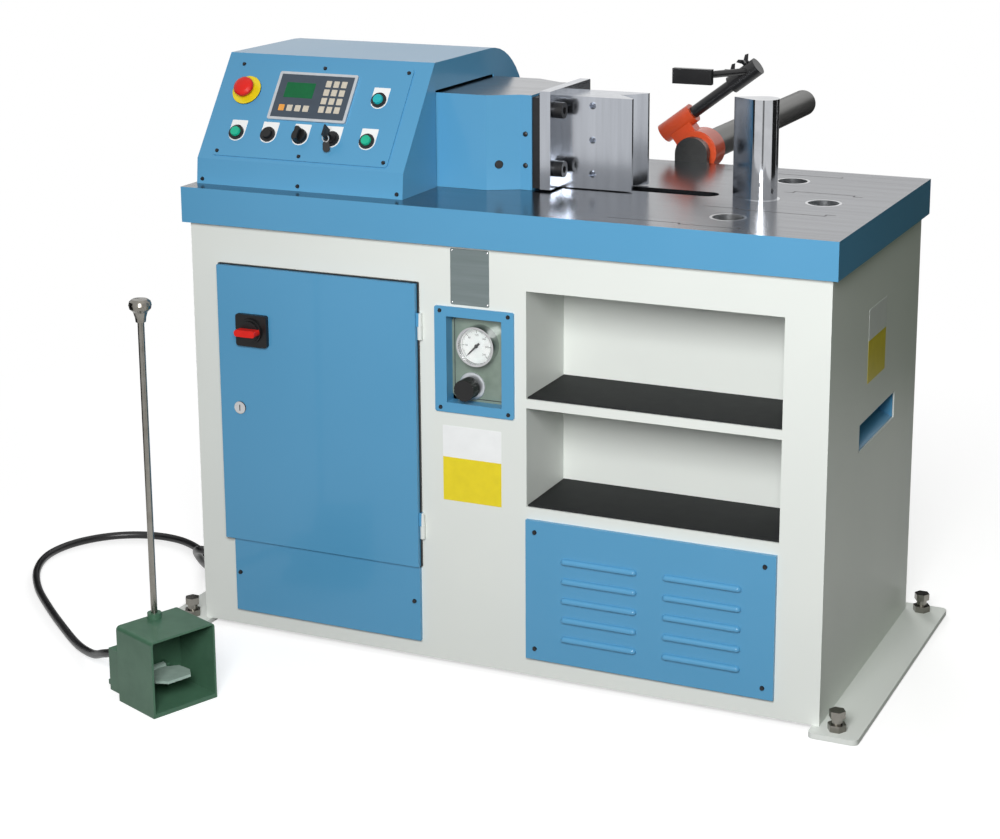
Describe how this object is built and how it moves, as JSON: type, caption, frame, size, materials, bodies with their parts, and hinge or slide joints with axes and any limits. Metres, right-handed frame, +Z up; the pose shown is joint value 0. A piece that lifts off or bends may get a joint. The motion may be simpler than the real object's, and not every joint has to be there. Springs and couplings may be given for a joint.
{
  "type": "horizontal press brake",
  "caption": "Horizontal press brake: a hydraulic ram on a steel table pushes a vee die against a post, on a cabinet with a door, niches, back gauge and foot pedal.",
  "frame": {"origin": "on the floor, at the middle of the bounding box of everything but the pedal cable", "axes": "+X along the table to the right, from the ram to the post; +Y to the back, along the back gauge bar; +Z up"},
  "size_m": [1.8461, 1.816, 1.114],
  "materials": {
    "ground_steel": "ground, with fine lengthwise lines",
    "polished_steel": "polished",
    "tool_steel": "ground on all faces",
    "blue_paint": "gloss enamel",
    "cream_paint": "gloss powder coat",
    "green_enamel": "gloss enamel on a casting",
    "orange_paint": "gloss enamel",
    "black_steel": "blackened, satin",
    "grey_green_paint": "satin",
    "motor_paint": "satin enamel",
    "tank_paint": "satin enamel",
    "chromed_steel": "bright",
    "zinc_steel": "zinc plated",
    "cast_iron": "machined where it seats",
    "mat_rubber": "matt",
    "hose_rubber": "satin",
    "red_plastic": "gloss",
    "green_plastic": "gloss",
    "teal_plastic": "gloss",
    "black_plastic": "satin",
    "silver_frame": "satin anodised"
  },
  "bodies": {
    "machine": {"table_slab": "ground_steel", "post_bushes": "polished_steel", "bending_post": "polished_steel", "front_frame": "cream_paint", "cabinet_body": "cream_paint", "rear_panel": "cream_paint", "niche_box": "cream_paint", "niche_mats": "mat_rubber", "foot_bars": "cream_paint", "levelling_bolts": "zinc_steel", "lifting_pockets": "blue_paint", "lower_cover": "blue_paint", "louvred_cover": "blue_paint", "cover_screws": "black_steel", "gauge_frame": "blue_paint", "gauge_plate": "grey_green_paint", "gauge_case": "chromed_steel", "hinge_pins": "zinc_steel", "electrical_plate": "zinc_steel", "oil_tank": "tank_paint", "pump_motor": "motor_paint", "valve_block": "zinc_steel", "control_hood": "blue_paint", "control_panel": "blue_paint", "display_unit": "silver_frame", "switch_bezels": "chromed_steel", "cylinder_barrel": "cast_iron", "gauge_bar": "ground_steel", "pedal_housing": "green_enamel", "carrying_rod": "chromed_steel", "cable_glands": "black_plastic", "foot_cable": "hose_rubber"},
    "ram": {"ram_block": "blue_paint", "guide_key": "tool_steel", "backing_plates": "black_steel", "die_flange": "tool_steel", "flange_bolts": "black_steel", "die_holder": "tool_steel", "vee_die": "tool_steel", "piston_rod": "chromed_steel"},
    "door": {"electrical_door": "blue_paint", "main_switch_base": "black_plastic"},
    "switch_handle": {"main_switch_handle": "red_plastic"},
    "lock": {"door_lock": "chromed_steel"},
    "estop": {"emergency_stop": "red_plastic"},
    "start": {"start_button": "green_plastic"},
    "jog": {"jog_button": "black_plastic"},
    "cycle": {"cycle_button": "green_plastic"},
    "reset": {"reset_button": "teal_plastic"},
    "selector": {"mode_selector": "black_plastic"},
    "key": {"key_switch": "chromed_steel"},
    "needle": {"gauge_needle": "black_steel"},
    "regulator": {"regulator_knob": "black_plastic"},
    "treadle": {"pedal_treadle": "green_enamel"},
    "collar": {"gauge_collar": "orange_paint", "gauge_arm": "black_steel"},
    "head": {"gauge_head": "black_steel"},
    "arm_wing_screw": {"arm_screw": "black_steel"},
    "rod_wing_screw": {"rod_screw": "black_steel"},
    "stop": {"stop_rod": "black_steel"}
  },
  "joints": [
    {"name": "ram_slide", "type": "slide", "parent": "machine", "child": "ram", "axis": [1, 0, 0], "range_m": [0, 0.21]},
    {"name": "door_hinge", "type": "hinge", "parent": "machine", "child": "door", "pos_m": [-0.1412, -0.48281, 0.464], "axis": [0, 0, 1], "range_deg": [0, 120]},
    {"name": "main_switch_turn", "type": "hinge", "parent": "door", "child": "switch_handle", "pos_m": [-0.489, -0.49001, 0.616], "axis": [0, 1, 0], "range_deg": [0, 90]},
    {"name": "lock_turn", "type": "hinge", "parent": "door", "child": "lock", "pos_m": [-0.523, -0.49001, 0.46], "axis": [0, -1, 0], "range_deg": [0, 90]},
    {"name": "emergency_stop_push", "type": "slide", "parent": "machine", "child": "estop", "axis": [0, 0.8093, -0.5874], "range_m": [0, 0.005], "stiffness_N_per_m": 900, "springref_m": -0.004},
    {"name": "start_push", "type": "slide", "parent": "machine", "child": "start", "axis": [0, 0.8093, -0.5874], "range_m": [0, 0.004], "stiffness_N_per_m": 800, "springref_m": -0.003},
    {"name": "jog_push", "type": "slide", "parent": "machine", "child": "jog", "axis": [0, 0.8093, -0.5874], "range_m": [0, 0.004], "stiffness_N_per_m": 800, "springref_m": -0.003},
    {"name": "cycle_push", "type": "slide", "parent": "machine", "child": "cycle", "axis": [0, 0.8093, -0.5874], "range_m": [0, 0.004], "stiffness_N_per_m": 800, "springref_m": -0.003},
    {"name": "reset_push", "type": "slide", "parent": "machine", "child": "reset", "axis": [0, 0.8093, -0.5874], "range_m": [0, 0.004], "stiffness_N_per_m": 800, "springref_m": -0.003},
    {"name": "mode_turn", "type": "hinge", "parent": "machine", "child": "selector", "pos_m": [-0.424, -0.40855, 0.9756], "axis": [0, -0.8093, 0.5874], "range_deg": [-45, 45]},
    {"name": "key_turn", "type": "hinge", "parent": "machine", "child": "key", "pos_m": [-0.356, -0.40855, 0.9756], "axis": [0, -0.8093, 0.5874], "range_deg": [-90, 0]},
    {"name": "needle_turn", "type": "hinge", "parent": "machine", "child": "needle", "pos_m": [-0.031, -0.47401, 0.628], "axis": [0, 1, 0], "range_deg": [0, 270]},
    {"name": "regulator_turn", "type": "hinge", "parent": "machine", "child": "regulator", "pos_m": [-0.048, -0.49001, 0.547], "axis": [0, 1, 0], "range_deg": [-180, 180]},
    {"name": "treadle_press", "type": "hinge", "parent": "machine", "child": "treadle", "pos_m": [-0.53001, -0.80805, 0.046], "axis": [0.3746, 0.9272, 0], "range_deg": [0, 12], "stiffness_Nm_per_rad": 5, "springref_deg": -11.46},
    {"name": "collar_slide", "type": "slide", "parent": "machine", "child": "collar", "axis": [0, 1, 0], "range_m": [0, 0.62]},
    {"name": "head_turn", "type": "hinge", "parent": "collar", "child": "head", "pos_m": [0.25822, 0.19799, 1.06044], "axis": [0.7986, 0, 0.6018], "range_deg": [-40, 40]},
    {"name": "arm_screw_turn", "type": "hinge", "parent": "head", "child": "arm_wing_screw", "pos_m": [0.23107, 0.19799, 1.03997], "axis": [-0.6018, 0, 0.7986], "range_deg": [-180, 180]},
    {"name": "rod_screw_turn", "type": "hinge", "parent": "head", "child": "rod_wing_screw", "pos_m": [0.25822, 0.19799, 1.06044], "axis": [-0.6018, 0, 0.7986], "range_deg": [-180, 180]},
    {"name": "stop_rod_slide", "type": "slide", "parent": "head", "child": "stop", "axis": [-0.5534, -0.8329, 0], "range_m": [-0.1, 0]}
  ]
}
